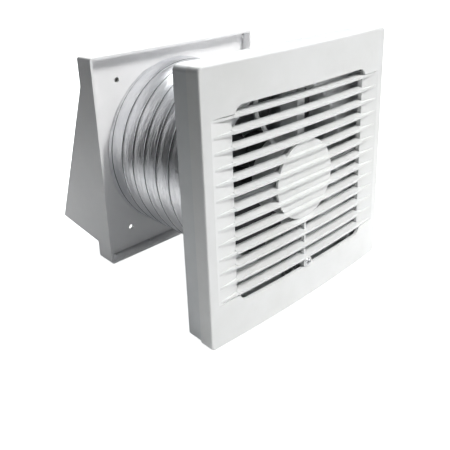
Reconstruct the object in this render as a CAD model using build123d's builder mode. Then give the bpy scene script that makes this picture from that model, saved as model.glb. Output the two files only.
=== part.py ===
from build123d import *
from math import asin, cos, degrees, hypot, radians, sin, sqrt, tan
import os

# A through-wall bathroom extractor fan: a louvred fan unit, a short flexible
# aluminium duct and an outside cowl. Millimetres. +Z is up and the front faces -Y.
# The origin is on the fan's axis, in the plane of the wall that the fan is fixed to.

os.makedirs("parts", exist_ok=True)

# Clearances
free_gap = 0.3  # between pieces that move past each other
seat_gap = 0.1  # between pieces that are fixed together
running_gap = 0.03  # radial, shaft in bearing
hinge_gap = 0.05  # radial, knuckle on pin

# Front grille
front_size = 200.0
edge_depth = 24.5  # wall to the front at the sides
face_bow = 3.6  # extra depth at the middle of the bowed face
cover_depth = 10.9  # side strip of the cover
cover_wall = 2.2
corner_radius = 4.0
edge_round = 1.4
opening_width = 145.0
opening_height = 143.0
opening_radius = 8.0
band_inset = 5.4  # the recessed side panels end this far inside the opening's top and bottom
recess_width = 19.5  # side panel, from the opening towards the edge
recess_depth = 3.0
panel_wall = 2.0
side_wall = 1.4  # wall beside the opening that carries the slats' ends
side_wall_setback = 0.5  # from the side panel's surface
slat_count = 13
slat_pitch = 10.75
slat_thickness = 2.0
slat_depth = 6.8
slat_rise = 1.2  # the back edge of a slat is this much higher than its front edge
slat_bite = 1.0  # length of a slat inside the wall at each end
rib_depth = 3.6
rib_thickness = 1.8
rib_setback = 0.3  # the ribs rise out of the bowed face just inside the panel's outer end
disc_radius = 31.0
disc_setback = 2.7  # from the slats' front edges to the disc
disc_thickness = 2.0
tie_width = 1.8
tie_setback = 0.8  # from the slats' back edges to the tie's back
hook_width = 12.0
hook_offset = 74.0
hook_reach = 4.0
hook_thickness = 1.6

# Fixing screw of the grille
screw_height = -69.0
screw_boss_radius = 4.6
screw_boss_length = 8.6
screw_boss_stand = 0.4  # the boss stands this much in front of the face
screw_head_radius = 3.4
screw_head_height = 1.9
screw_seat_depth = 1.3  # counterbore under the head
screw_shank_radius = 1.75
screw_shank_length = 18.5
screw_play = 0.35
cross_width = 1.0
cross_length = 4.2
cross_depth = 1.1
retainer_radius = 3.2
retainer_thickness = 0.8

# Base of the fan unit
base_reveal = 0.7  # the base is this much inside the cover all round
base_wall = 2.4
floor_front = 5.0  # wall plane to the front of the floor
floor_thickness = 2.5
spigot_radius = 73.0
spigot_wall = 2.0
spigot_length = 45.0
mouth_round = 2.2
wall_screw_spacing = 176.0
wall_screw_radius = 2.25
wall_boss_radius = 5.0

# Motor cradle
cup_radius = 31.0
cup_wall = 1.8
cradle_gap = 0.7  # slats to the cradle's front
arm_count = 4
arm_width = 8.0
arm_wall = 1.6
arm_end_radius = 89.0
foot_length = 12.0
foot_thickness = 4.0
foot_screw_radius = 1.5
foot_screw_head = 3.0
foot_screw_head_height = 2.0
foot_screw_inset = 6.0
cradle_boss_radius = 4.5
cradle_boss_drop = 3.0

# Motor
motor_gap = 0.3
core_length = 7.0
core_front = -12.5
core_ring = 6.4
pole_width = 8.0
shoe_width = 13.0
shoe_thickness = 1.7
air_gap = 0.3
rotor_radius = 14.0
end_ring_thickness = 0.8
end_ring_wall = 3.0
coil_wall = 3.0
bracket_thickness = 1.4
front_bracket_y = -17.2
rear_bracket_y = -1.9
bracket_boss_radius = 6.5
bush_radius = 4.5
bush_length = 4.1
shaft_radius = 2.5
washer_thickness = 0.6
washer_radius = 4.4
bolt_radius = 1.4
bolt_circle = 25.8
bolt_head_radius = 2.6
bolt_head_height = 1.5

# Impeller
hub_front = 2.9
hub_length = 24.0
hub_radius = 27.0
hub_wall = 2.0
hub_boss_radius = 6.0
hub_boss_length = 12.0
hub_rib_count = 6
hub_rib_width = 1.4
blade_count = 7
tip_gap = 1.4
blade_thickness = 1.8
blade_root_chord = 26.0
blade_tip_chord = 44.0
blade_root_angle = 40.0
blade_tip_angle = 22.0
nut_width = 8.0
nut_length = 3.2
shaft_overhang = 2.0

# Wiring
lead_radius = 1.7
lead_bend_radius = 9.0
lead_depth = -9.3
lead_x = -35.0
lead_bend_height = 54.0
lead_entry_angle = 120.0
terminal_x = -42.0
terminal_height = 85.0
block_length = 28.0
block_width = 12.0
block_depth = 9.0
terminal_ways = 3
terminal_pitch = 8.0
terminal_screw_radius = 1.9
lid_wall = 1.2
lid_margin = 2.2
lid_screw_radius = 1.3
lid_screw_head = 2.4
cable_x = -84.0
cable_height = 60.0
cable_hole_radius = 6.5
cable_bore_radius = 4.0
grommet_flange = 1.5
grommet_lip = 2.0
clamp_height = 75.0
clamp_length = 21.0
clamp_width = 6.0
clamp_thickness = 3.0
clamp_post_radius = 2.8
clamp_post_length = 3.0
clamp_screw_spacing = 15.0
clamp_screw_radius = 1.3

# Duct
duct_play = 0.4
duct_wall = 1.8

# Cowl
cowl_front = 113.0
cowl_size = 182.0
rim_depth = 20.0
cowl_wall = 2.2
cowl_corner = 2.5
plate_recess = 9.0
plate_thickness = 2.2
plate_play = 1.5
plate_spigot_length = 30.0
plate_hole_width = 124.0
plate_hole_height = 136.0
plate_hole_radius = 2.25
nub_spacing = 42.0
nub_length = 4.0
nub_height = 1.7
nub_thickness = 1.6
post_size = 7.0
hood_inset = 0.5
hood_top = 68.0
hood_reach = 62.0
hood_tip_height = -70.0
mouth_height = -76.0

# Flap
flap_tilt = 2.5  # degrees; the seat leans back so the flap closes by its weight
flap_overlap = 0.5
flap_thickness = 1.4
flap_web_width = 80.0
pin_radius = 1.0
pin_length = 113.0
pin_drop = 3.2  # from the plate's back to the pin
pin_above = 4.4  # pin above the seat ring
knuckle_radius = 2.4
knuckle_length = 96.0
flap_offset = 2.2  # from the pin to the front of the flap
lug_thickness = 3.0

# Derived places
half_front = front_size / 2
inner_half = half_front - cover_wall
bow_radius = (half_front**2 + face_bow**2) / (2 * face_bow)
crown_y = -(edge_depth + face_bow)
bow_centre_y = crown_y + bow_radius
bow_axis = Axis((0, bow_centre_y, 0), (0, 0, 1))
seam_y = -(edge_depth - cover_depth)
opening_half = opening_width / 2
band_half = opening_height / 2 - band_inset
slat_heights = [slat_pitch * (i - (slat_count - 1) / 2) for i in range(slat_count)]
slat_back_y = crown_y + slat_depth
disc_y = crown_y + disc_setback + disc_thickness
base_size = front_size - 2 * base_reveal
base_inner = base_size - 2 * base_wall
base_front_y = seam_y + free_gap
bore_radius = spigot_radius - spigot_wall
cradle_front_y = slat_back_y + cradle_gap
cradle_edge_y = cradle_front_y + face_bow
arm_back_y = -floor_front
cup_back_y = 0.0
foot_circle = arm_end_radius - foot_screw_inset
boss_front_y = cradle_front_y + cradle_boss_drop
core_radius = cup_radius - cup_wall - motor_gap
core_back = core_front + core_length
coil_overhang = coil_wall
lid_screw_x = terminal_x + terminal_pitch / 2
lid_length = block_length + 2 * (lid_margin + lid_wall)
lid_width = block_width + 2 * (lid_margin + lid_wall)
lid_depth = block_depth + lid_margin + lid_wall
rim_back = cowl_front + rim_depth
rim_inner = cowl_size - 2 * cowl_wall
plate_front = cowl_front + plate_recess
plate_back = plate_front + plate_thickness
pin_y = plate_back + pin_drop
pin_z = spigot_radius + pin_above


def facing(y):
    # Plane at depth y that faces the front, with local x along +X and local y along +Z.
    return Plane.XZ.offset(-y)


def bow_y(x):
    # Depth of the bowed face at x.
    return bow_centre_y - sqrt(bow_radius**2 - x**2)


def bowed_profile(half_width, back, edge, bow):
    # Section of a block with a bowed front, seen from above.
    with BuildSketch(Plane.XY) as profile:
        with BuildLine():
            ThreePointArc((-half_width, edge), (0, edge - bow), (half_width, edge))
            Polyline((half_width, edge), (half_width, back), (-half_width, back), (-half_width, edge))
        make_face()
    return profile.sketch


def bow_plane(x):
    # Upright plane through x on the bowed face; local x runs into the face, local y is up.
    angle = asin(x / bow_radius)
    inwards = Vector(-sin(angle), cos(angle), 0)
    return Plane(origin=(x, bow_y(x), 0), x_dir=inwards, z_dir=(cos(angle), sin(angle), 0))


def save(piece, name):
    piece.part.label = name
    export_step(piece.part, f"parts/{name}.step")


# Front grille: bowed cover with opening, side ribs, slats and centre disc
with BuildPart() as grille_cover:
    extrude(bowed_profile(half_front, seam_y, -edge_depth, face_bow), amount=half_front, both=True)
    fillet(grille_cover.edges().filter_by(Axis.Y), radius=corner_radius)
    fillet(grille_cover.faces().sort_by(Axis.Y)[0].outer_wire().edges(), radius=edge_round)
    inner_edge = -edge_depth + cover_wall
    extrude(
        bowed_profile(inner_half, seam_y + 1, inner_edge, face_bow),
        amount=inner_half,
        both=True,
        mode=Mode.SUBTRACT,
    )
    # Side panels: thickened behind, cut to a slope that falls towards the opening, and the wall behind
    recess_end = opening_half + recess_width
    recess_y = bow_y(opening_half) + recess_depth
    for side in (-1, 1):
        with BuildSketch(facing(recess_y + panel_wall)):
            with Locations((side * (opening_half + recess_end) / 2, 0)):
                Rectangle(recess_width + 2 * slat_bite, 2 * band_half + 2 * cover_wall)
        extrude(amount=recess_depth)
        with BuildSketch(Plane.XY):
            Polygon(
                (side * recess_end, bow_y(recess_end)),
                (side * opening_half, recess_y),
                (side * opening_half, crown_y - face_bow),
                (side * recess_end, crown_y - face_bow),
                align=None,
            )
        extrude(amount=band_half, both=True, mode=Mode.SUBTRACT)
        with BuildSketch(facing(bow_y(opening_half) + slat_depth)):
            with Locations((side * (opening_half + side_wall / 2), 0)):
                Rectangle(side_wall, opening_height - 2 * (opening_radius + side_wall))
        extrude(amount=slat_depth - recess_depth - side_wall_setback)
    with BuildSketch(bow_plane(-recess_end)):
        for height in slat_heights:
            with Locations((rib_setback, height)):
                Rectangle(rib_depth, rib_thickness, align=(Align.MIN, Align.CENTER))
    revolve(axis=bow_axis, revolution_arc=2 * degrees(asin(recess_end / bow_radius)))
    with BuildSketch(facing(seam_y)):
        RectangleRounded(opening_width, opening_height, opening_radius)
    extrude(amount=2 * edge_depth, mode=Mode.SUBTRACT)
    slat_end = opening_half + slat_bite
    with BuildSketch(bow_plane(-slat_end)):
        for height in slat_heights:
            with Locations((0, height)):
                Polygon(
                    (0, -slat_thickness / 2),
                    (slat_depth, slat_rise - slat_thickness / 2),
                    (slat_depth, slat_rise + slat_thickness / 2),
                    (0, slat_thickness / 2),
                    align=None,
                )
    revolve(axis=bow_axis, revolution_arc=2 * degrees(asin(slat_end / bow_radius)))
    # Centre disc, tie down to the screw boss, and the boss itself
    with BuildSketch(facing(disc_y)):
        Circle(disc_radius)
    extrude(amount=disc_thickness)
    with BuildSketch(facing(slat_back_y - tie_setback)):
        with Locations((0, (screw_height - disc_radius) / 2)):
            Rectangle(tie_width, -screw_height - disc_radius + 2 * slat_bite)
    extrude(amount=slat_depth - tie_setback - disc_setback)
    boss_back_y = crown_y + screw_boss_length
    with BuildSketch(facing(boss_back_y)):
        with Locations((0, screw_height)):
            Circle(screw_boss_radius)
    extrude(amount=screw_boss_length + screw_boss_stand)
    with BuildSketch(facing(crown_y + screw_seat_depth)):
        with Locations((0, screw_height)):
            Circle(screw_head_radius + free_gap)
    extrude(amount=slat_thickness + screw_seat_depth, mode=Mode.SUBTRACT)
    with BuildSketch(facing(boss_back_y)):
        with Locations((0, screw_height)):
            Circle(screw_shank_radius + screw_play)
    extrude(amount=screw_boss_length, mode=Mode.SUBTRACT)
    # Hooks that hold the top edge of the cover in the base
    hook_top = base_inner / 2 - free_gap - hook_thickness / 2
    for side in (-1, 1):
        with BuildSketch(facing(seam_y + hook_reach)):
            with Locations((side * hook_offset, hook_top - hook_thickness / 2)):
                Rectangle(hook_width, hook_thickness)
        extrude(amount=hook_reach + cover_wall)
        with BuildSketch(facing(seam_y - free_gap)):
            with Locations((side * hook_offset, (hook_top - hook_thickness + inner_half + 1) / 2)):
                Rectangle(hook_width, inner_half + 1 - hook_top + hook_thickness)
        extrude(amount=cover_wall)
save(grille_cover, "grille_cover")

# Grille screw with a cross recess, and the ring that keeps it in the cover
head_seat_y = crown_y + screw_seat_depth
head_face_y = head_seat_y - screw_head_height
with BuildPart() as grille_screw:
    with BuildSketch(facing(head_seat_y)):
        with Locations((0, screw_height)):
            Circle(screw_head_radius)
    extrude(amount=screw_head_height)
    fillet(grille_screw.edges().sort_by(Axis.Y)[0], radius=screw_head_height / 2)
    with BuildSketch(facing(head_seat_y + screw_shank_length)):
        with Locations((0, screw_height)):
            Circle(screw_shank_radius)
    extrude(amount=screw_shank_length)
    with BuildSketch(facing(head_face_y + cross_depth)):
        with Locations((0, screw_height)):
            Rectangle(cross_length, cross_width)
            Rectangle(cross_width, cross_length)
    extrude(amount=2 * cross_depth, mode=Mode.SUBTRACT)
save(grille_screw, "grille_screw")

with BuildPart() as screw_retainer:
    with BuildSketch(facing(boss_back_y + seat_gap + retainer_thickness)):
        with Locations((0, screw_height)):
            Circle(retainer_radius)
            Circle(screw_shank_radius + running_gap, mode=Mode.SUBTRACT)
    extrude(amount=retainer_thickness)
save(screw_retainer, "screw_retainer")

# Base: square tray with bell mouth, spigot, wall bosses and cable entry
with BuildPart() as housing_base:
    with BuildSketch(facing(0)):
        RectangleRounded(base_size, base_size, corner_radius)
    extrude(amount=-base_front_y)
    with BuildSketch(facing(0)):
        RectangleRounded(base_inner, base_inner, corner_radius - base_wall / 2)
    extrude(amount=floor_front - floor_thickness, mode=Mode.SUBTRACT)
    with BuildSketch(facing(-floor_front)):
        RectangleRounded(base_inner, base_inner, corner_radius - base_wall / 2)
    extrude(amount=-base_front_y - floor_front, mode=Mode.SUBTRACT)
    with BuildSketch(facing(spigot_length)):
        Circle(spigot_radius)
    extrude(amount=spigot_length + floor_front)
    with BuildSketch(facing(0)):
        with GridLocations(wall_screw_spacing, wall_screw_spacing, 2, 2):
            Circle(wall_boss_radius)
    extrude(amount=floor_front)
    with BuildSketch(facing(-floor_front)):
        with Locations((cable_x, clamp_height)):
            with GridLocations(clamp_screw_spacing, 0, 2, 1):
                Circle(clamp_post_radius)
    extrude(amount=clamp_post_length)
    with BuildSketch(facing(0)):
        with PolarLocations(foot_circle, arm_count):
            Circle(cradle_boss_radius)
    extrude(amount=floor_front)
    with BuildSketch(facing(spigot_length)):
        Circle(bore_radius)
    extrude(amount=spigot_length + floor_front, mode=Mode.SUBTRACT)
    mouth = housing_base.edges().filter_by(GeomType.CIRCLE).filter_by_position(
        Axis.Y, -floor_front - 0.01, -floor_front + 0.01
    )
    fillet(mouth.filter_by(lambda edge: abs(edge.radius - bore_radius) < 0.01), radius=mouth_round)
    with BuildSketch(facing(0)):
        with GridLocations(wall_screw_spacing, wall_screw_spacing, 2, 2):
            Circle(wall_screw_radius)
        with PolarLocations(foot_circle, arm_count):
            Circle(foot_screw_radius + seat_gap)
        with Locations((cable_x, cable_height)):
            Circle(cable_hole_radius)
    extrude(amount=floor_front, mode=Mode.SUBTRACT)
    with BuildSketch(facing(-floor_front + floor_thickness)):
        with Locations((cable_x, clamp_height)):
            with GridLocations(clamp_screw_spacing, 0, 2, 1):
                Circle(clamp_screw_radius + seat_gap)
        with Locations((lid_screw_x, terminal_height)):
            Circle(lid_screw_radius + seat_gap)
    extrude(amount=clamp_post_length + floor_thickness, mode=Mode.SUBTRACT)
save(housing_base, "housing_base")

# Motor cradle: a cup on four arms; the bottom arm takes the grille screw
with BuildPart() as motor_cradle:
    with BuildSketch(facing(cup_back_y)):
        Circle(cup_radius)
    extrude(amount=cup_back_y - cradle_front_y + face_bow)
    arm_length = arm_end_radius - cup_radius + cup_wall
    with BuildSketch(facing(arm_back_y)):
        with PolarLocations(arm_end_radius - arm_length / 2, arm_count):
            Rectangle(arm_length, arm_width)
    extrude(amount=arm_back_y - cradle_front_y + face_bow)
    extrude(
        bowed_profile(half_front, cup_back_y, cradle_edge_y, face_bow),
        amount=half_front,
        both=True,
        mode=Mode.INTERSECT,
    )
    foot_start = arm_end_radius - foot_length
    channel = foot_start - cup_radius - arm_wall
    with BuildSketch(facing(arm_back_y)):
        with PolarLocations(cup_radius + channel / 2, arm_count):
            Rectangle(channel, arm_width - 2 * arm_wall)
    extrude(amount=arm_back_y - cradle_edge_y - arm_wall, mode=Mode.SUBTRACT)
    with BuildSketch(facing(arm_back_y - foot_thickness)):
        with PolarLocations(foot_start + foot_length / 2, arm_count):
            Rectangle(foot_length, arm_width)
    extrude(amount=-cradle_front_y, mode=Mode.SUBTRACT)
    with BuildSketch(facing(arm_back_y)):
        with PolarLocations(foot_circle, arm_count):
            Circle(foot_screw_radius + seat_gap)
    extrude(amount=foot_thickness, mode=Mode.SUBTRACT)
    with BuildSketch(facing(arm_back_y)):
        with Locations((0, screw_height)):
            Circle(cradle_boss_radius)
    extrude(amount=arm_back_y - boss_front_y)
    with BuildSketch(facing(boss_front_y)):
        with Locations((0, screw_height)):
            Rectangle(arm_width + 1, 2 * cradle_boss_radius + 1)
    extrude(amount=boss_front_y - cradle_front_y, mode=Mode.SUBTRACT)
    with BuildSketch(facing(arm_back_y - arm_wall)):
        with Locations((0, screw_height)):
            Circle(screw_shank_radius + screw_play)
    extrude(amount=arm_back_y - arm_wall - boss_front_y, mode=Mode.SUBTRACT)
    with BuildSketch(facing(cup_back_y)):
        Circle(cup_radius - cup_wall)
    extrude(amount=cup_back_y - cradle_front_y - cup_wall, mode=Mode.SUBTRACT)
    # Posts that the motor bolts screw into
    bolt_y = front_bracket_y - seat_gap
    with BuildSketch(facing(bolt_y)):
        with PolarLocations(bolt_circle, 2, start_angle=45):
            Circle(bolt_head_radius)
            Circle(bolt_radius + seat_gap, mode=Mode.SUBTRACT)
    extrude(amount=bolt_y - cradle_front_y - cup_wall)
    # Hole for the lead, along its last run
    entry = Vector(
        (cup_radius - cup_wall) * cos(radians(lead_entry_angle)),
        lead_depth,
        (cup_radius - cup_wall) * sin(radians(lead_entry_angle)),
    )
    bend = Vector(lead_x, lead_depth, lead_bend_height)
    with BuildSketch(Plane(origin=entry - (bend - entry).normalized() * cup_wall, z_dir=bend - entry)):
        Circle(lead_radius + free_gap)
    extrude(amount=4 * cup_wall, mode=Mode.SUBTRACT)
save(motor_cradle, "motor_cradle")


def pan_screws(places, seat_y, shank_radius, head_radius, head_height, shank_length):
    # Pan-head screws that point backwards, one for each (x, z) place.
    with BuildPart() as screws:
        with BuildSketch(facing(seat_y)):
            with Locations(*places):
                Circle(head_radius)
        extrude(amount=head_height)
        with BuildSketch(facing(seat_y - head_height + head_height / 2)):
            with Locations(*places):
                Rectangle(1.3 * head_radius, head_height / 2)
                Rectangle(head_height / 2, 1.3 * head_radius)
        extrude(amount=head_height, mode=Mode.SUBTRACT)
        with BuildSketch(facing(seat_y + shank_length)):
            with Locations(*places):
                Circle(shank_radius)
        extrude(amount=shank_length)
    return screws


foot_places = [(foot_circle, 0), (0, foot_circle), (-foot_circle, 0), (0, -foot_circle)]
foot_seat_y = arm_back_y - foot_thickness
cradle_screws = pan_screws(
    foot_places,
    foot_seat_y,
    foot_screw_radius,
    foot_screw_head,
    foot_screw_head_height,
    foot_thickness + floor_front - 1,
)
save(cradle_screws, "cradle_screws")

# Motor: laminated core with four poles, windings, brackets, bushes and bolts
with BuildPart() as stator_core:
    with BuildSketch(facing(core_back)):
        Circle(core_radius)
        Circle(core_radius - core_ring, mode=Mode.SUBTRACT)
        pole_length = core_radius - core_ring - rotor_radius - air_gap
        with PolarLocations(rotor_radius + air_gap + pole_length / 2, 4):
            Rectangle(pole_length + 1, pole_width)
        with PolarLocations(rotor_radius + air_gap + shoe_thickness / 2, 4):
            Rectangle(shoe_thickness + 1, shoe_width)
        Circle(rotor_radius + air_gap, mode=Mode.SUBTRACT)
        with PolarLocations(bolt_circle, 2, start_angle=45):
            Circle(bolt_radius + seat_gap, mode=Mode.SUBTRACT)
    extrude(amount=core_length)
save(stator_core, "stator_core")

with BuildPart() as stator_coils:
    coil_inner = rotor_radius + air_gap + shoe_thickness + 1
    coil_outer = core_radius - core_ring - 1.2
    with BuildSketch(facing(core_back + coil_overhang)):
        with PolarLocations((coil_inner + coil_outer) / 2, 4):
            Rectangle(coil_outer - coil_inner, pole_width + 2 * coil_wall)
    extrude(amount=core_length + 2 * coil_overhang)
    with BuildSketch(facing(core_back + seat_gap)):
        with PolarLocations((coil_inner + coil_outer) / 2, 4):
            Rectangle(coil_outer - coil_inner, pole_width + 2 * seat_gap)
    extrude(amount=core_length + 2 * seat_gap, mode=Mode.SUBTRACT)
save(stator_coils, "stator_coils")


def bearing_bracket(plate_y, boss_y):
    # Round plate at plate_y with a bush housing whose front is at boss_y.
    with BuildPart() as bracket:
        with BuildSketch(facing(plate_y + bracket_thickness)):
            Circle(core_radius)
        extrude(amount=bracket_thickness)
        with BuildSketch(facing(boss_y + bush_length)):
            Circle(bracket_boss_radius)
        extrude(amount=bush_length)
        with BuildSketch(facing(boss_y + bush_length)):
            Circle(bush_radius + seat_gap / 2)
        extrude(amount=bush_length, mode=Mode.SUBTRACT)
        with BuildSketch(facing(plate_y + bracket_thickness)):
            with PolarLocations(bolt_circle, 2, start_angle=45):
                Circle(bolt_radius + seat_gap)
            with PolarLocations((bracket_boss_radius + bolt_circle) / 2, 4):
                Circle(bush_radius - 1)
        extrude(amount=bracket_thickness, mode=Mode.SUBTRACT)
    return bracket


def bush(front_y):
    with BuildPart() as sleeve:
        with BuildSketch(facing(front_y + bush_length)):
            Circle(bush_radius)
            Circle(shaft_radius + running_gap, mode=Mode.SUBTRACT)
        extrude(amount=bush_length)
    return sleeve


front_bush_y = core_front - end_ring_thickness - washer_thickness - 2 * seat_gap - bush_length
rear_bush_y = core_back + end_ring_thickness + washer_thickness + 2 * seat_gap
front_bearing_bracket = bearing_bracket(front_bracket_y, front_bush_y)
save(front_bearing_bracket, "front_bearing_bracket")
rear_bearing_bracket = bearing_bracket(rear_bracket_y, rear_bush_y)
save(rear_bearing_bracket, "rear_bearing_bracket")
front_bush = bush(front_bush_y)
save(front_bush, "front_bush")
rear_bush = bush(rear_bush_y)
save(rear_bush, "rear_bush")

with BuildPart() as motor_bolts:
    bolt_seat_y = rear_bracket_y + bracket_thickness
    with BuildSketch(facing(bolt_seat_y + bolt_head_height)):
        with PolarLocations(bolt_circle, 2, start_angle=45):
            RegularPolygon(bolt_head_radius, 6)
    extrude(amount=bolt_head_height)
    with BuildSketch(facing(bolt_seat_y)):
        with PolarLocations(bolt_circle, 2, start_angle=45):
            Circle(bolt_radius)
    extrude(amount=bolt_seat_y - cradle_front_y - cup_wall - seat_gap)
save(motor_bolts, "motor_bolts")

# Turning parts: rotor, shaft, washers, impeller and nut
with BuildPart() as rotor:
    with BuildSketch(facing(core_back + end_ring_thickness)):
        Circle(rotor_radius - air_gap)
        Circle(shaft_radius + running_gap, mode=Mode.SUBTRACT)
    extrude(amount=core_length + 2 * end_ring_thickness)
    for face_y in (core_front, core_back + end_ring_thickness):
        with BuildSketch(facing(face_y)):
            Circle(rotor_radius - air_gap - end_ring_wall)
            Circle(washer_radius + 1, mode=Mode.SUBTRACT)
        extrude(amount=end_ring_thickness, mode=Mode.SUBTRACT)
save(rotor, "rotor")

hub_boss_back = hub_front + hub_wall + hub_boss_length
nut_back = hub_boss_back + nut_length + seat_gap
shaft_front_y = cradle_front_y + cup_wall + free_gap
with BuildPart() as motor_shaft:
    with BuildSketch(facing(nut_back + shaft_overhang)):
        Circle(shaft_radius)
    extrude(amount=nut_back + shaft_overhang - shaft_front_y)
    chamfer(motor_shaft.edges().group_by(Axis.Y)[-1], length=shaft_radius / 5)
save(motor_shaft, "motor_shaft")

with BuildPart() as thrust_washers:
    front_washer_y = core_front - end_ring_thickness - seat_gap
    rear_washer_y = core_back + end_ring_thickness + seat_gap + washer_thickness
    for washer_y in (front_washer_y, rear_washer_y):
        with BuildSketch(facing(washer_y)):
            Circle(washer_radius)
            Circle(shaft_radius + running_gap, mode=Mode.SUBTRACT)
        extrude(amount=washer_thickness)
save(thrust_washers, "thrust_washers")

blade_y = hub_front + hub_length / 2
tip_radius = bore_radius - tip_gap
with BuildPart() as blade:
    root_z = hub_radius - 2 * hub_wall
    for height, chord, angle in (
        (root_z, blade_root_chord, blade_root_angle),
        (bore_radius, blade_tip_chord, blade_tip_angle),
    ):
        with BuildSketch(Plane(origin=(0, blade_y, height), x_dir=(1, 0, 0), z_dir=(0, 0, 1))):
            SlotOverall(chord, blade_thickness, rotation=angle)
    loft()
    with BuildSketch(facing(blade_y + hub_length)):
        Circle(tip_radius)
        Circle(hub_radius - hub_wall / 2, mode=Mode.SUBTRACT)
    extrude(amount=2 * hub_length, mode=Mode.INTERSECT)

with BuildPart() as impeller:
    with BuildSketch(facing(hub_front + hub_length)):
        Circle(hub_radius)
    extrude(amount=hub_length)
    fillet(impeller.edges().sort_by(Axis.Y)[0], radius=hub_wall)
    with BuildSketch(facing(hub_front + hub_length)):
        Circle(hub_radius - hub_wall)
    extrude(amount=hub_length - hub_wall, mode=Mode.SUBTRACT)
    with BuildSketch(facing(hub_boss_back)):
        Circle(hub_boss_radius)
        with PolarLocations((hub_boss_radius + hub_radius - hub_wall) / 2, hub_rib_count):
            Rectangle(hub_radius - hub_wall - hub_boss_radius + 1, hub_rib_width)
    extrude(amount=hub_boss_length)
    with BuildSketch(facing(hub_boss_back)):
        Circle(shaft_radius + running_gap)
    extrude(amount=hub_boss_length + hub_wall, mode=Mode.SUBTRACT)
    for i in range(blade_count):
        add(blade.part.rotate(Axis.Y, 360 * i / blade_count))
save(impeller, "impeller")

with BuildPart() as impeller_nut:
    with BuildSketch(facing(nut_back)):
        RegularPolygon(nut_width / 2, 6, major_radius=False)
        Circle(shaft_radius + running_gap, mode=Mode.SUBTRACT)
    extrude(amount=nut_length)
save(impeller_nut, "impeller_nut")

# Wiring: terminal block with lid, clamp, grommet and the lead to the motor
block_front_y = -floor_front - block_depth
with BuildPart() as terminal_block:
    with BuildSketch(facing(-floor_front)):
        with Locations((terminal_x, terminal_height)):
            Rectangle(block_length, block_width)
    extrude(amount=block_depth)
    with BuildSketch(facing(block_front_y + block_depth / 2)):
        with Locations((terminal_x, terminal_height)):
            with GridLocations(terminal_pitch, block_width / 2, terminal_ways, 2):
                Circle(terminal_screw_radius + seat_gap)
    extrude(amount=block_depth / 2, mode=Mode.SUBTRACT)
    with BuildSketch(facing(-floor_front)):
        with Locations((lid_screw_x, terminal_height)):
            Circle(lid_screw_radius + seat_gap)
    extrude(amount=block_depth, mode=Mode.SUBTRACT)
save(terminal_block, "terminal_block")

with BuildPart() as terminal_screws:
    with BuildSketch(facing(block_front_y + block_depth / 2)):
        with Locations((terminal_x, terminal_height)):
            with GridLocations(terminal_pitch, block_width / 2, terminal_ways, 2):
                Circle(terminal_screw_radius)
    extrude(amount=block_depth / 2 - 1)
    with BuildSketch(facing(block_front_y + 2)):
        with Locations((terminal_x, terminal_height)):
            with GridLocations(terminal_pitch, block_width / 2, terminal_ways, 2):
                Rectangle(3 * terminal_screw_radius, terminal_screw_radius / 3)
    extrude(amount=1.5, mode=Mode.SUBTRACT)
save(terminal_screws, "terminal_screws")

lid_front_y = -floor_front - lid_depth
with BuildPart() as terminal_cover:
    with BuildSketch(facing(-floor_front)):
        with Locations((terminal_x, terminal_height)):
            RectangleRounded(lid_length, lid_width, lid_margin)
    extrude(amount=lid_depth)
    with BuildSketch(facing(-floor_front)):
        with Locations((terminal_x, terminal_height)):
            Rectangle(lid_length - 2 * lid_wall, lid_width - 2 * lid_wall)
    extrude(amount=lid_depth - lid_wall, mode=Mode.SUBTRACT)
    with BuildSketch(facing(lid_front_y + lid_wall)):
        with Locations((lid_screw_x, terminal_height)):
            Circle(lid_screw_radius + seat_gap)
    extrude(amount=lid_wall, mode=Mode.SUBTRACT)
    lead_notch = -floor_front - lead_depth + lead_radius + free_gap
    with BuildSketch(facing(-floor_front)):
        with Locations((lead_x, terminal_height - lid_width / 2)):
            Rectangle(2 * (lead_radius + free_gap), 3 * lid_wall)
        with Locations((terminal_x - lid_length / 2, terminal_height)):
            Rectangle(3 * lid_wall, 2 * cable_bore_radius)
    extrude(amount=lead_notch, mode=Mode.SUBTRACT)
save(terminal_cover, "terminal_cover")

terminal_cover_screw = pan_screws(
    [(lid_screw_x, terminal_height)],
    lid_front_y,
    lid_screw_radius,
    lid_screw_head,
    1.4,
    lid_depth + floor_thickness - 1,
)
save(terminal_cover_screw, "terminal_cover_screw")

with BuildPart() as cable_grommet:
    flange_y = -floor_front - seat_gap - grommet_flange
    with BuildSketch(facing(-floor_front - seat_gap)):
        with Locations((cable_x, cable_height)):
            Circle(cable_hole_radius + grommet_lip)
    extrude(amount=grommet_flange)
    with BuildSketch(facing(-seat_gap)):
        with Locations((cable_x, cable_height)):
            Circle(cable_hole_radius - seat_gap)
    extrude(amount=floor_front)
    with BuildSketch(facing(-seat_gap)):
        with Locations((cable_x, cable_height)):
            Circle(cable_bore_radius)
    extrude(amount=floor_front + grommet_flange, mode=Mode.SUBTRACT)
    fillet(cable_grommet.edges().group_by(Axis.Y)[0], radius=grommet_flange / 3)
save(cable_grommet, "cable_grommet")

clamp_back_y = -floor_front - clamp_post_length
with BuildPart() as cable_clamp:
    with BuildSketch(facing(clamp_back_y)):
        with Locations((cable_x, clamp_height)):
            RectangleRounded(clamp_length, clamp_width, clamp_width / 4)
            with GridLocations(clamp_screw_spacing, 0, 2, 1):
                Circle(clamp_screw_radius + seat_gap, mode=Mode.SUBTRACT)
    extrude(amount=clamp_thickness)
save(cable_clamp, "cable_clamp")

clamp_places = [(cable_x + side * clamp_screw_spacing / 2, clamp_height) for side in (-1, 1)]
cable_clamp_screws = pan_screws(
    clamp_places,
    clamp_back_y - clamp_thickness,
    clamp_screw_radius,
    lid_screw_head,
    1.6,
    clamp_thickness + clamp_post_length + 1,
)
save(cable_clamp_screws, "cable_clamp_screws")

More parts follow.
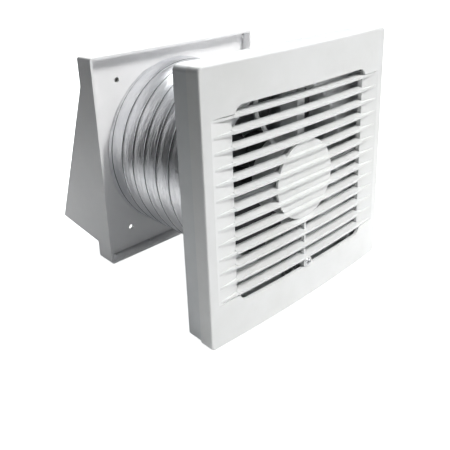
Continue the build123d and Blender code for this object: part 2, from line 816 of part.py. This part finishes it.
with BuildPart() as motor_lead:
    lead_start = Vector(lead_x, lead_depth, terminal_height - block_width / 2 - seat_gap)
    with BuildLine() as lead_path:
        FilletPolyline(lead_start, bend, entry, radius=lead_bend_radius)
    with BuildSketch(Plane(origin=lead_start, z_dir=(0, 0, -1))):
        Circle(lead_radius)
    sweep(path=lead_path.wires()[0])
save(motor_lead, "motor_lead")

# Flexible duct between the two spigots
with BuildPart() as flexible_duct:
    duct_inner = spigot_radius + duct_play
    with BuildSketch(facing(plate_front - seat_gap)):
        Circle(duct_inner + duct_wall)
        Circle(duct_inner, mode=Mode.SUBTRACT)
    extrude(amount=plate_front - 2 * seat_gap)
save(flexible_duct, "flexible_duct")

# Cowl: deep rim and sloping hood in one shell
hood_half = cowl_size / 2 - hood_inset
roof_length = hypot(hood_reach, hood_top - hood_tip_height)
roof_y = hood_reach / roof_length
roof_z = (hood_tip_height - hood_top) / roof_length
inside_y = rim_back + cowl_wall * roof_z
inside_z = hood_top - cowl_wall * roof_y
cut_y = rim_back - cowl_wall - seat_gap
cut_top = inside_z + (cut_y - inside_y) * roof_z / roof_y
low_z = mouth_height - cowl_wall * 3
with BuildPart() as cowl_shell:
    with BuildSketch(facing(rim_back)):
        RectangleRounded(cowl_size, cowl_size, cowl_corner)
    extrude(amount=rim_depth)
    with BuildSketch(Plane.YZ):
        Polygon(
            (rim_back - 1, hood_top),
            (rim_back, hood_top),
            (rim_back + hood_reach, hood_tip_height),
            (rim_back, mouth_height),
            (rim_back - 1, mouth_height),
            align=None,
        )
    extrude(amount=hood_half, both=True)
    with BuildSketch(facing(rim_back - cowl_wall)):
        Rectangle(rim_inner, rim_inner)
    extrude(amount=rim_depth, mode=Mode.SUBTRACT)
    with BuildSketch(Plane.YZ):
        Polygon(
            (cut_y, cut_top),
            (inside_y + (low_z - inside_z) * roof_y / roof_z, low_z),
            (rim_back, low_z),
            (rim_back, mouth_height),
            (cut_y, mouth_height),
            align=None,
        )
    extrude(amount=hood_half - cowl_wall, both=True, mode=Mode.SUBTRACT)
    # Snap nubs in front of the plate and posts behind it
    nub_y = plate_front - seat_gap
    edge = rim_inner / 2
    along = [nub_spacing * i for i in (-2, -1, 0, 1, 2)]
    with BuildSketch(facing(nub_y)):
        for side in (-1, 1):
            for place in along:
                with Locations((side * edge, place)):
                    Rectangle(2 * nub_height, nub_length)
            for place in along[:2] + along[3:]:
                with Locations((place, side * edge)):
                    Rectangle(nub_length, 2 * nub_height)
    extrude(amount=nub_thickness)
    with BuildSketch(facing(rim_back - cowl_wall)):
        with GridLocations(rim_inner - post_size, rim_inner - post_size, 2, 2):
            Rectangle(post_size, post_size)
    extrude(amount=rim_back - cowl_wall - plate_back - seat_gap)
save(cowl_shell, "cowl_shell")

# Flap geometry: the flap leans back from its pin; local y runs down the flap
lean = radians(flap_tilt)


def flap_plane(offset):
    # Plane along the flap, offset backwards from the pin.
    normal = Vector(0, cos(lean), sin(lean))
    return Plane(origin=Vector(0, pin_y, pin_z) + normal * offset, x_dir=(1, 0, 0), z_dir=normal)


with BuildPart() as seat_ring:
    with BuildSketch(facing(rim_back + rim_depth)):
        Circle(spigot_radius)
        Circle(bore_radius, mode=Mode.SUBTRACT)
    extrude(amount=rim_back + rim_depth - plate_back + plate_thickness / 2)
    split(bisect_by=flap_plane(-flap_offset - free_gap), keep=Keep.BOTTOM)

plate_size = rim_inner - 2 * plate_play
with BuildPart() as cowl_plate:
    with BuildSketch(facing(plate_back)):
        RectangleRounded(plate_size, plate_size, cowl_corner / 2)
    extrude(amount=plate_thickness)
    with BuildSketch(facing(plate_back)):
        Circle(spigot_radius)
    extrude(amount=plate_spigot_length + plate_thickness)
    with BuildSketch(facing(plate_back)):
        Circle(bore_radius)
    extrude(amount=plate_spigot_length + plate_thickness, mode=Mode.SUBTRACT)
    add(seat_ring.part)
    with BuildSketch(facing(plate_back)):
        with GridLocations(plate_hole_width, plate_hole_height, 2, 2):
            Circle(plate_hole_radius)
    extrude(amount=plate_thickness, mode=Mode.SUBTRACT)
    for side in (-1, 1):
        with BuildSketch(Plane.YZ.offset(side * (knuckle_length + lug_thickness) / 2 + side * 2 * free_gap)):
            with Locations((pin_y, pin_z)):
                Circle(knuckle_radius)
            with Locations(((pin_y + plate_back) / 2, pin_z)):
                Rectangle(pin_y - plate_back + seat_gap, 2 * knuckle_radius)
            with Locations((pin_y, pin_z)):
                Circle(pin_radius + seat_gap / 2, mode=Mode.SUBTRACT)
        extrude(amount=lug_thickness / 2, both=True)
save(cowl_plate, "cowl_plate")

with BuildPart() as flap_pin:
    with BuildSketch(Plane.YZ):
        with Locations((pin_y, pin_z)):
            Circle(pin_radius)
    extrude(amount=pin_length / 2, both=True)
save(flap_pin, "flap_pin")

flap_radius = spigot_radius + flap_overlap
with BuildPart() as backdraught_flap:
    with BuildSketch(flap_plane(-flap_offset)):
        with Locations((0, pin_z / cos(lean))):
            Circle(flap_radius)
        with Locations((0, pin_above * 2)):
            Rectangle(flap_web_width, pin_above * 4)
    extrude(amount=flap_thickness)
    with BuildSketch(Plane.YZ):
        with Locations((pin_y, pin_z)):
            Circle(knuckle_radius)
    extrude(amount=knuckle_length / 2, both=True)
    with BuildSketch(Plane.YZ):
        with Locations((pin_y, pin_z)):
            Circle(pin_radius + hinge_gap)
    extrude(amount=knuckle_length, both=True, mode=Mode.SUBTRACT)
save(backdraught_flap, "backdraught_flap")
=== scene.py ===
import math

import bpy
import numpy as np
from mathutils import Matrix, Vector


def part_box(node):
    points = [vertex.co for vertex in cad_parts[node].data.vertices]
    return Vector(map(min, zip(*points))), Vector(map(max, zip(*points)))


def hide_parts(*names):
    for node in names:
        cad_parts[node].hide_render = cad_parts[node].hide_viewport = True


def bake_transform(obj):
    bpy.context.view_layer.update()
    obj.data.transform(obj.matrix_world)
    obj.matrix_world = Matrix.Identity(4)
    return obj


# Extractor fan with its duct and outside cowl. Metres, front faces -Y, origin in the wall plane.

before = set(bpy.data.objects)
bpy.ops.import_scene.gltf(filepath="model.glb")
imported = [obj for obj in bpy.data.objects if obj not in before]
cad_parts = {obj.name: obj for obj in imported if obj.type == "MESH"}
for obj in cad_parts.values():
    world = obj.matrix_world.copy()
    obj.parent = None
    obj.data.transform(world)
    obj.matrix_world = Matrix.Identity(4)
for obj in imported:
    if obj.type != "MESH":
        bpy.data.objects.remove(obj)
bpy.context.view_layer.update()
print("frame loaded:", len(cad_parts), "nodes")


class Chan:
    # A shader socket that works in sums: a + b, 1 - a or a * 0.5 adds one Math node
    def __init__(self, tree, socket=None):
        self.tree = tree
        self.socket = socket

    def node(self, kind, settings=None, inputs=None, out=0):
        # Adds a node: its settings first, then a number, colour or link for each socket
        made = self.tree.nodes.new("ShaderNode" + kind)
        for key, value in (settings or {}).items():
            setattr(made, key, value)
        for key, value in (inputs or {}).items():
            if isinstance(value, Chan):
                self.tree.links.new(value.socket, made.inputs[key])
            else:
                made.inputs[key].default_value = value
        return Chan(self.tree, made.outputs[out])

    def maths(self, operation, first, second):
        return self.node("Math", {"operation": operation}, {0: first, 1: second})

    def __add__(self, other):
        return self.maths("ADD", self, other)

    def __radd__(self, other):
        return self.maths("ADD", other, self)

    def __sub__(self, other):
        return self.maths("SUBTRACT", self, other)

    def __rsub__(self, other):
        return self.maths("SUBTRACT", other, self)

    def __mul__(self, other):
        return self.maths("MULTIPLY", self, other)

    def __rmul__(self, other):
        return self.maths("MULTIPLY", other, self)

    def step(self, low, high):
        # 0 below low, 1 above high, smooth between
        return self.node(
            "MapRange",
            {"interpolation_type": "SMOOTHSTEP"},
            {"Value": self, "From Min": low, "From Max": high},
        )

    def tint(self, first, second):
        # Blends two colours by this value
        first, second = (c if isinstance(c, Chan) else (*c, 1) for c in (first, second))
        return self.node("Mix", {"data_type": "RGBA"}, {0: self, 6: first, 7: second}, out=2)

    def stretched(self, scale):
        # Coordinates with each axis scaled, so a pattern runs in streaks
        return self.node("Mapping", {"vector_type": "POINT"}, {"Vector": self, "Scale": scale})

    def noise(self, place, scale, detail=3.0, rough=0.5):
        return self.node(
            "TexNoise",
            {"noise_dimensions": "3D"},
            {"Vector": place, "Scale": scale, "Detail": detail, "Roughness": rough},
        )

    def bump(self, height, distance, strength=1.0, under=None):
        inputs = {"Height": height, "Distance": distance, "Strength": strength}
        if under is not None:
            inputs["Normal"] = under
        return self.node("Bump", None, inputs)


def newMaterial(name):
    # Empty material; returns it, its tree and its object coordinates
    material = bpy.data.materials.new(name)
    material.use_nodes = True
    tree = material.node_tree
    tree.nodes.clear()
    start = Chan(tree)
    place = start.node("TexCoord", out=3)
    return material, start, place


def finishMaterial(start, shader):
    # Wires the shader to the output
    output = start.tree.nodes.new("ShaderNodeOutputMaterial")
    start.tree.links.new(shader.socket, output.inputs["Surface"])


def upward(start):
    # How much a surface faces up, 0 to 1
    normal = start.node("NewGeometry", out=1)
    return start.node("SeparateXYZ", None, {"Vector": normal}, out=2)


def mouldedPlastic(name, values):
    # Moulded plastic: slow colour drift, fine spark-eroded grain, patchy gloss, a little dust
    # on what faces up, and a few faint scuffs
    material, start, place = newMaterial(name)
    drift = start.noise(place, values["driftScale"], 2.0)
    cloud = start.noise(place, values["driftScale"] * 5, 4.0, 0.6)
    grain = start.noise(place, values["grainScale"], 2.0)
    scuffPlace = place.stretched(values["scuffStretch"])
    scuff = start.noise(scuffPlace, values["scuffScale"], 5.0, 0.7).step(0.62, 0.72)
    dust = upward(start).step(0.3, 0.95) * cloud.step(0.35, 0.75)
    colour = (drift * 0.6 + cloud * 0.4).step(0.3, 0.7).tint(values["colour"], values["colourAged"])
    colour = (dust * values["dust"]).tint(colour, values["dustColour"])
    colour = (scuff * values["scuff"]).tint(colour, values["scuffColour"])
    rough = values["rough"] + (cloud - 0.5) * values["roughSpread"] + scuff * 0.12 + dust * 0.15
    normal = start.bump(drift, values["waveHeight"], 0.5)
    normal = start.bump(grain, values["grainHeight"], values["grainStrength"], normal)
    shader = start.node(
        "BsdfPrincipled",
        None,
        {"Base Color": colour, "Roughness": rough, "Normal": normal, "IOR": 1.49},
    )
    finishMaterial(start, shader)
    return material


plainPlastic = {
    "colour": (0.86, 0.87, 0.87),
    "colourAged": (0.81, 0.82, 0.81),
    "driftScale": 14.0,
    "grainScale": 2600.0,
    "grainHeight": 0.00004,
    "grainStrength": 0.35,
    "waveHeight": 0.0006,
    "rough": 0.36,
    "roughSpread": 0.16,
    "dust": 0.10,
    "dustColour": (0.62, 0.60, 0.56),
    "scuff": 0.10,
    "scuffColour": (0.70, 0.70, 0.69),
    "scuffScale": 60.0,
    "scuffStretch": (1.0, 3.0, 0.35),
}


def metal(name, values):
    # Bare metal: drift in colour, drawn lines along one direction, stains that raise the roughness
    material, start, place = newMaterial(name)
    lines = start.noise(place.stretched(values["lineStretch"]), values["lineScale"], 4.0, 0.6)
    cloud = start.noise(place, values["cloudScale"], 4.0, 0.6)
    stain = start.noise(place, values["cloudScale"] * 3.1, 5.0, 0.65).step(0.55, 0.75)
    colour = cloud.step(0.3, 0.7).tint(values["colour"], values["colourDark"])
    colour = (stain * values["stain"]).tint(colour, values["stainColour"])
    rough = values["rough"] + lines * values["roughSpread"] + stain * 0.2
    normal = start.bump(lines, values["lineHeight"], 0.5)
    shader = start.node(
        "BsdfPrincipled",
        None,
        {"Base Color": colour, "Metallic": 1.0, "Roughness": rough, "Normal": normal},
    )
    finishMaterial(start, shader)
    return material


plainSteel = {
    "colour": (0.70, 0.71, 0.72),
    "colourDark": (0.55, 0.56, 0.57),
    "lineStretch": (1.0, 12.0, 1.0),
    "lineScale": 700.0,
    "lineHeight": 0.00003,
    "cloudScale": 90.0,
    "rough": 0.24,
    "roughSpread": 0.16,
    "stain": 0.35,
    "stainColour": (0.42, 0.40, 0.37),
}


def rubber(name, values):
    # Matt rubber: fine pores and a pale bloom in patches
    material, start, place = newMaterial(name)
    cloud = start.noise(place, values["cloudScale"], 4.0, 0.6)
    pores = start.node("TexVoronoi", {"feature": "F1"}, {"Vector": place, "Scale": values["poreScale"]})
    colour = cloud.step(0.35, 0.75).tint(values["colour"], values["bloom"])
    rough = values["rough"] + (cloud - 0.5) * 0.2
    normal = start.bump(pores, 0.00004, 0.5)
    shader = start.node("BsdfPrincipled", None, {"Base Color": colour, "Roughness": rough, "Normal": normal})
    finishMaterial(start, shader)
    return material


def stacked(name, values):
    # Thin layers along Y: sheet edges of a lamination stack or turns of a winding
    material, start, place = newMaterial(name)
    layers = start.node(
        "TexWave",
        {"wave_type": "BANDS", "bands_direction": values["direction"], "wave_profile": "SIN"},
        {
            "Vector": place,
            "Scale": values["layerScale"],
            "Distortion": values["wander"],
            "Detail": 2.0,
            "Detail Scale": 2.0,
        },
    )
    cloud = start.noise(place, 120.0, 4.0, 0.6)
    colour = layers.tint(values["colourGap"], values["colour"])
    colour = (cloud.step(0.45, 0.75) * values["patina"]).tint(colour, values["patinaColour"])
    rough = values["rough"] + (1 - layers) * 0.25 + (cloud - 0.5) * 0.2
    normal = start.bump(layers, values["layerHeight"], 0.8)
    shader = start.node(
        "BsdfPrincipled",
        None,
        {
            "Base Color": colour,
            "Metallic": values["metallic"],
            "Roughness": rough,
            "Normal": normal,
            "Coat Weight": values["varnish"],
        },
    )
    finishMaterial(start, shader)
    return material


finishes = {
    "grille_plastic": mouldedPlastic("whiteGrillePlastic", plainPlastic),
    "housing_plastic": mouldedPlastic(
        "whiteHousingPlastic",
        {
            **plainPlastic, "colour": (0.80, 0.82, 0.83), "colourAged": (0.74, 0.76, 0.77),
            "rough": 0.42,
        },
    ),
    "cowl_plastic": mouldedPlastic(
        "whiteCowlPlastic",
        {
            **plainPlastic, "colour": (0.93, 0.93, 0.93), "colourAged": (0.89, 0.89, 0.895),
            "rough": 0.44, "dust": 0.16,
        },
    ),
    "cradle_plastic": mouldedPlastic(
        "greyCradlePlastic",
        {
            **plainPlastic, "colour": (0.60, 0.61, 0.62), "colourAged": (0.54, 0.55, 0.56),
            "rough": 0.45, "dust": 0.2,
        },
    ),
    "impeller_plastic": mouldedPlastic(
        "darkImpellerPlastic",
        {
            **plainPlastic, "colour": (0.10, 0.105, 0.11), "colourAged": (0.07, 0.072, 0.075),
            "rough": 0.38, "dust": 0.25, "dustColour": (0.32, 0.31, 0.29),
            "scuffColour": (0.16, 0.16, 0.16),
        },
    ),
    "terminal_plastic": mouldedPlastic(
        "creamTerminalPlastic",
        {
            **plainPlastic, "colour": (0.72, 0.70, 0.64), "colourAged": (0.66, 0.63, 0.56),
            "rough": 0.5,
        },
    ),
    "lead_sleeve": mouldedPlastic(
        "leadSleeve",
        {
            **plainPlastic, "colour": (0.66, 0.67, 0.67), "colourAged": (0.58, 0.59, 0.59),
            "rough": 0.5, "grainScale": 1500.0,
        },
    ),
    "screw_steel": metal(
        "brightScrewSteel",
        {
            **plainSteel, "colour": (0.80, 0.81, 0.82), "colourDark": (0.66, 0.67, 0.69),
            "rough": 0.2,
        },
    ),
    "steel": metal("platedSteel", plainSteel),
    "brass_terminal": metal(
        "brass",
        {
            **plainSteel, "colour": (0.78, 0.62, 0.32), "colourDark": (0.62, 0.46, 0.22),
            "stainColour": (0.35, 0.24, 0.12),
        },
    ),
    "sintered_bronze": metal(
        "sinteredBronze",
        {
            **plainSteel, "colour": (0.50, 0.36, 0.20), "colourDark": (0.36, 0.25, 0.14),
            "rough": 0.45, "lineStretch": (1.0, 1.0, 1.0), "lineScale": 1600.0,
        },
    ),
    "grommet_rubber": rubber(
        "blackGrommetRubber",
        {
            "colour": (0.025, 0.025, 0.027), "bloom": (0.07, 0.07, 0.072), "cloudScale": 160.0,
            "poreScale": 2200.0, "rough": 0.72,
        },
    ),
    "retainer_rubber": rubber(
        "greyRetainerRubber",
        {
            "colour": (0.09, 0.09, 0.09), "bloom": (0.16, 0.16, 0.16), "cloudScale": 260.0,
            "poreScale": 2600.0, "rough": 0.7,
        },
    ),
    "lamination_steel": stacked(
        "laminationStack",
        {
            "direction": "Y", "layerScale": 320.0, "wander": 0.4, "colour": (0.42, 0.42, 0.43),
            "colourGap": (0.10, 0.10, 0.11), "patina": 0.5, "patinaColour": (0.26, 0.20, 0.16),
            "rough": 0.35, "layerHeight": 0.00012, "metallic": 1.0, "varnish": 0.1,
        },
    ),
    "copper_winding": stacked(
        "enamelledCopper",
        {
            "direction": "Z", "layerScale": 480.0, "wander": 1.2, "colour": (0.62, 0.26, 0.12),
            "colourGap": (0.16, 0.05, 0.03), "patina": 0.4, "patinaColour": (0.36, 0.13, 0.06),
            "rough": 0.28, "layerHeight": 0.00018, "metallic": 0.9, "varnish": 0.5,
        },
    ),
}

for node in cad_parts.values():
    for slot in node.material_slots:
        slot.material = finishes[slot.material.name] if slot.material.name in finishes else slot.material
print("finishes made:", len(finishes))

# Flexible duct

ductValues = {
    "radius": 0.0767,  # mean radius of the outer skin
    "cuffRadius": 0.0745,  # where it grips the fan's spigot
    "wall": 0.0004,
    "turns": 240,  # grid steps round the duct
    "rows": 320,  # grid steps along the outer skin
    "innerRows": 60,  # and back along the inner one
    "seamPitch": 0.0152,
    "seamWidth": 0.00085,
    "seamHeight": 0.0004,
    "valley": 0.00012,
    "belly": 0.00022,  # how far the foil stands out midway between two seams
    "crease": 0.00005,
    "cuffLength": 0.009,
    "flareLength": 0.0035,  # soft collar against the cowl's plate
    "flareHeight": 0.0012,
    "flareWaver": 0.0002,
}
ductLooks = {
    "foil": (0.94, 0.945, 0.96),
    "foilMilky": (0.82, 0.83, 0.86),
    "rolled": (0.62, 0.64, 0.67),
    "seam": (0.11, 0.115, 0.125),
    "rough": 0.25,
    "lineScale": 55.0,
    "streakScale": 42.0,
    "streakHeight": 0.0018,
    "dentScale": 70.0,
    "dentHeight": 0.0004,
}


def fullTurn(steps):
    # Even angles once round, without the last, which is the first again
    return np.linspace(0, 2 * np.pi, steps, endpoint=False)


def quads(near, far):
    # Four corners between two sets of rows, each row running once round
    return np.stack([near, np.roll(near, -1, 1), np.roll(far, -1, 1), far], -1).reshape(-1, 4)


def linkMesh(name, verts, faces, material):
    mesh = bpy.data.meshes.new(name)
    mesh.from_pydata(verts, [], faces)
    mesh.polygons.foreach_set("use_smooth", np.ones(len(mesh.polygons), bool))
    mesh.materials.append(material)
    piece = bpy.data.objects.new(name, mesh)
    bpy.context.collection.objects.link(piece)
    return piece


def setMark(piece, name, numbers):
    # One number per point, for the material to read
    mark = piece.data.attributes.new(name, "FLOAT", "POINT")
    mark.data.foreach_set("value", numbers.reshape(-1).astype(np.float32))


def ripple(turn, along, seed):
    # Sum of twelve sine waves with mixed directions and phases, each a whole number of
    # waves round the duct, so it closes on itself
    total = np.zeros_like(turn)
    rng = np.random.default_rng(seed)
    for k in range(12):
        round_ = rng.integers(3, 26)
        lengthwise = rng.uniform(-900, 900)
        total += np.sin(round_ * turn + lengthwise * along + rng.uniform(0, 6.28)) / 12 ** 0.5
    return total


def ductSkin(values, rows):
    # Radius over turn and along = mean + seam crest - groove beside it + belly between seams + creases
    # + collar, where the seam is a helix, phase = along / pitch - turn / full circle, and the mean
    # swells from the cuff by 3 s^2 - 2 s^3
    low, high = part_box("flexible_duct")
    start, end = low.y + 0.0002, high.y - 0.0002
    turn, row = np.meshgrid(fullTurn(values["turns"]), np.linspace(0, 1, rows))
    along = start + row * (end - start)
    phase = along / values["seamPitch"] - turn / (2 * np.pi)
    away = np.abs(phase - np.round(phase)) * values["seamPitch"]
    crest = np.exp(-((away / values["seamWidth"]) ** 2))
    groove = np.exp(-(((away - 2.2 * values["seamWidth"]) / (0.7 * values["seamWidth"])) ** 2))
    belly = np.sin(np.pi * away / values["seamPitch"]) ** 2
    ends = np.minimum((along - start) / values["cuffLength"], (end - along) / values["flareLength"])
    ends = np.clip(ends, 0, 1)
    swell = np.clip((along - start) / values["cuffLength"], 0, 1)
    mean = values["cuffRadius"] + (values["radius"] - values["cuffRadius"]) * swell**2 * (3 - 2 * swell)
    flare = np.clip((along - end) / values["flareLength"] + 1, 0, 1)
    mean = mean + flare**2 * (values["flareHeight"] + values["flareWaver"] * ripple(turn, along, 9))
    relief = ends * (crest * values["seamHeight"] - groove * values["valley"] + belly * values["belly"])
    relief = relief + values["crease"] * ripple(turn, along, 5) * (1 - 0.6 * crest)
    return turn, along, mean, relief, crest * ends


def buildDuct(values, looks):
    # A closed tube: rows run out along the outer skin and back along a plain inner skin one
    # wall further in, then join up
    turn, along, mean, relief, seamOut = ductSkin(values, values["rows"])
    outer = np.stack([(mean + relief) * np.sin(turn), along, (mean + relief) * np.cos(turn)], -1)
    turn, along, mean, _, seamIn = ductSkin(values, values["innerRows"])
    mean = mean - values["wall"] - values["valley"] - values["crease"]
    inner = np.stack([mean * np.sin(turn), along, mean * np.cos(turn)], -1)
    loop = np.concatenate([outer, inner[::-1]])
    seam = np.concatenate([seamOut, np.zeros_like(seamIn)])
    index = np.arange(loop.shape[0] * loop.shape[1]).reshape(loop.shape[:2])
    faces = quads(index, np.roll(index, -1, 0))
    duct = linkMesh("ductFoil", loop.reshape(-1, 3), faces, ductFinish(looks))
    rest = duct.data.attributes.new("restPlace", "FLOAT_VECTOR", "POINT")
    rest.data.foreach_set("vector", loop.reshape(-1).astype(np.float32))
    setMark(duct, "seam", seam)
    return duct


def ductFinish(looks):
    # Bright aluminium foil: rolling lines round the duct, shallow dents, a dark line at each
    # seam, milky oxide clouds
    material, start, _ = newMaterial("ductFoil")
    place = start.node("Attribute", {"attribute_name": "restPlace"}, None, out=1)
    seam = start.node("Attribute", {"attribute_name": "seam"}, None, out=2)
    lines = start.noise(place.stretched((1.0, 9.0, 1.0)), looks["lineScale"], 5.0, 0.65)
    streaks = start.noise(place.stretched((1.0, 8.0, 1.0)), looks["streakScale"], 4.0, 0.6)
    cloud = start.noise(place, 26.0, 4.0, 0.6)
    dents = start.noise(place, looks["dentScale"], 3.0, 0.55)
    creases = start.node("TexVoronoi", {"feature": "DISTANCE_TO_EDGE"}, {"Vector": place, "Scale": 130.0})
    fine = start.noise(place, 1100.0, 3.0, 0.6)
    colour = cloud.step(0.35, 0.7).tint(looks["foil"], looks["foilMilky"])
    colour = (lines.step(0.55, 0.75) * 0.3).tint(colour, looks["rolled"])
    colour = (seam.step(0.25, 0.8) * 0.9).tint(colour, looks["seam"])
    rough = looks["rough"] + (cloud - 0.4) * 0.14 + fine * 0.06 + lines * 0.08 + seam * 0.2
    normal = start.bump(dents, looks["dentHeight"], 0.5)
    normal = start.bump(streaks, looks["streakHeight"], 0.5, normal)
    normal = start.bump(lines, 0.0002, 0.4, normal)
    normal = start.bump(creases.step(0.0, 0.08), 0.0001, 0.35, normal)
    normal = start.bump(fine, 0.00003, 0.4, normal)
    inputs = {"Base Color": colour, "Metallic": 1.0, "Roughness": rough, "Normal": normal}
    finishMaterial(start, start.node("BsdfPrincipled", None, inputs))
    return material


duct = buildDuct(ductValues, ductLooks)
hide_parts("flexible_duct")
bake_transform(duct)
print("duct made:", len(duct.data.polygons), "faces")

# Floor, light and camera

stageValues = {
    "floorHeight": -0.1015,
    "floorRadius": 4.0,  # flat part of the paper sweep
    "sweepHeight": 5.0,  # it curves up to a wall this high
    "sweepSteps": 64,
    "floorColour": (0.90, 0.90, 0.90),
    "floorCloud": (0.8865, 0.8865, 0.8865),
    "floorGlow": 0.92,
    "cardSize": (0.85, 1.06),  # white bounce card that lies under the fan
    "cardCentre": (0.125, 0.05),
    "cardDrop": 0.0005,  # under the floor, which only the camera sees
    "cardGlow": 0.06,
    "skyColour": (0.93, 0.97, 1.0),
    "skyEdge": (0.35, 0.72),
    "skySide": (-0.55, 0.0),
    "ceilingStrength": 0.55,
    "wallStrength": 0.033,
    "lights": {
        # name: place, size, power, colour
        "rearSoftbox": ((0.50, 1.00, 0.90), 0.7, 10.0, (1.0, 1.0, 1.0)),
        "sideSoftbox": ((1.20, 0.30, 0.50), 0.6, 1.8, (1.0, 1.0, 1.0)),
        "frontSoftbox": ((0.55, -0.80, 1.10), 0.42, 18.5, (1.0, 0.99, 0.98)),
        "topSoftbox": ((0.02, 0.05, 1.20), 0.8, 2.0, (1.0, 1.0, 1.0)),
    },
    "aim": (0.0, 0.03, 0.0),
}


def paper(name, values, glow):
    # Matt white paper with a faint cloud
    material, start, place = newMaterial(name)
    inputs = {
        "Base Color": start.noise(place, 1.5, 2.0).tint(values["floorColour"], values["floorCloud"]),
        "Roughness": 0.85,
        "Specular IOR Level": 0.1,
        "Emission Color": (1, 1, 1, 1),
        "Emission Strength": glow,
    }
    finishMaterial(start, start.node("BsdfPrincipled", None, inputs))
    return material


def stagePiece(name, verts, faces, values, glow):
    piece = linkMesh(name, verts, faces, paper(name + "Paper", values, glow))
    return piece


def buildSweep(values):
    # Paper sweep: a flat disc whose rim turns up through a quarter circle into a wall, as rings
    # of radius r and height h: r = flat + bend sin(a), h = bend (1 - cos(a)), then straight up
    bend = values["sweepHeight"] / 2
    curve = np.linspace(0, np.pi / 2, 16)
    radius = np.append(values["floorRadius"] + bend * np.sin(curve), values["floorRadius"] + bend)
    height = np.append(bend * (1 - np.cos(curve)), values["sweepHeight"]) + values["floorHeight"]
    turn = fullTurn(values["sweepSteps"])
    rings = [np.outer(radius, np.cos(turn)), np.outer(radius, np.sin(turn)), np.outer(height, np.ones_like(turn))]
    index = np.arange(radius.size * turn.size).reshape(radius.size, turn.size)
    faces = [face[::-1] for face in quads(index[:-1], index[1:]).tolist()] + [index[0].tolist()]
    return stagePiece("floor", np.stack(rings, -1).reshape(-1, 3), faces, values, values["floorGlow"])


def buildCard(values):
    # Bounce card: corners at its centre plus or minus half its size
    signs = np.array([(-1, -1), (1, -1), (1, 1), (-1, 1)], float)
    flat = signs * np.array(values["cardSize"]) / 2 + np.array(values["cardCentre"])
    corners = np.column_stack([flat, np.full(4, values["floorHeight"] - values["cardDrop"])])
    return stagePiece("bounceCard", corners, [(0, 1, 2, 3)], values, values["cardGlow"])


def buildLight(name, place, size, power, colour, aim):
    data = bpy.data.lights.new(name, "AREA")
    data.shape = "SQUARE"
    data.size = size
    data.energy = power
    data.color = colour
    light = bpy.data.objects.new(name, data)
    light.location = place
    light.visible_camera = False
    light.rotation_euler = (Vector(aim) - Vector(place)).to_track_quat("-Z", "Y").to_euler()
    bpy.context.collection.objects.link(light)


floor = buildSweep(stageValues)
floor.visible_diffuse = False  # the card below lights the fan from underneath, the wide floor doesn't
floor.visible_glossy = False
floor.visible_shadow = False
card = buildCard(stageValues)
card.visible_camera = False
for name, (place, size, power, colour) in stageValues["lights"].items():
    buildLight(name, place, size, power, colour, stageValues["aim"])

world = bpy.data.worlds.new("studio")
world.use_nodes = True
bpy.context.scene.world = world
world.node_tree.nodes.clear()
sky = Chan(world.node_tree)
heading = sky.node("TexCoord", out=0)
sideways = sky.node("SeparateXYZ", None, {"Vector": heading}, out=0)
height = sky.node("SeparateXYZ", None, {"Vector": heading}, out=2)
overhead = height.step(*stageValues["skyEdge"]) * sideways.step(*stageValues["skySide"])
wall = stageValues["wallStrength"]
strength = overhead * (stageValues["ceilingStrength"] - wall) + wall  # a soft ceiling, dark walls
glow = sky.node("Background", None, {"Color": (*stageValues["skyColour"], 1), "Strength": strength})
skyOutput = world.node_tree.nodes.new("ShaderNodeOutputWorld")
world.node_tree.links.new(glow.socket, skyOutput.inputs["Surface"])
bpy.context.scene.view_settings.view_transform = "Standard"

cameraValues = {
    "place": (-0.3120, -0.2683, 0.1607),
    "turn": 38.87,  # degrees, heading to the right of +Y
    "tilt": 18.36,  # degrees down
    "roll": -3.61,
    "lens": 44.76,
    "shiftX": 0.0968,
    "shiftY": -0.1789,
}
cameraData = bpy.data.cameras.new("camera")
cameraData.lens = cameraValues["lens"]
cameraData.shift_x = cameraValues["shiftX"]
cameraData.shift_y = cameraValues["shiftY"]
cameraData.clip_start = 0.01
camera = bpy.data.objects.new("camera", cameraData)
bpy.context.collection.objects.link(camera)
camera.matrix_world = (
    Matrix.Translation(cameraValues["place"])
    @ Matrix.Rotation(math.radians(-cameraValues["turn"]), 4, "Z")
    @ Matrix.Rotation(math.radians(90 - cameraValues["tilt"]), 4, "X")
    @ Matrix.Rotation(math.radians(cameraValues["roll"]), 4, "Z")
)
bpy.context.scene.camera = camera
print("stage and camera set")
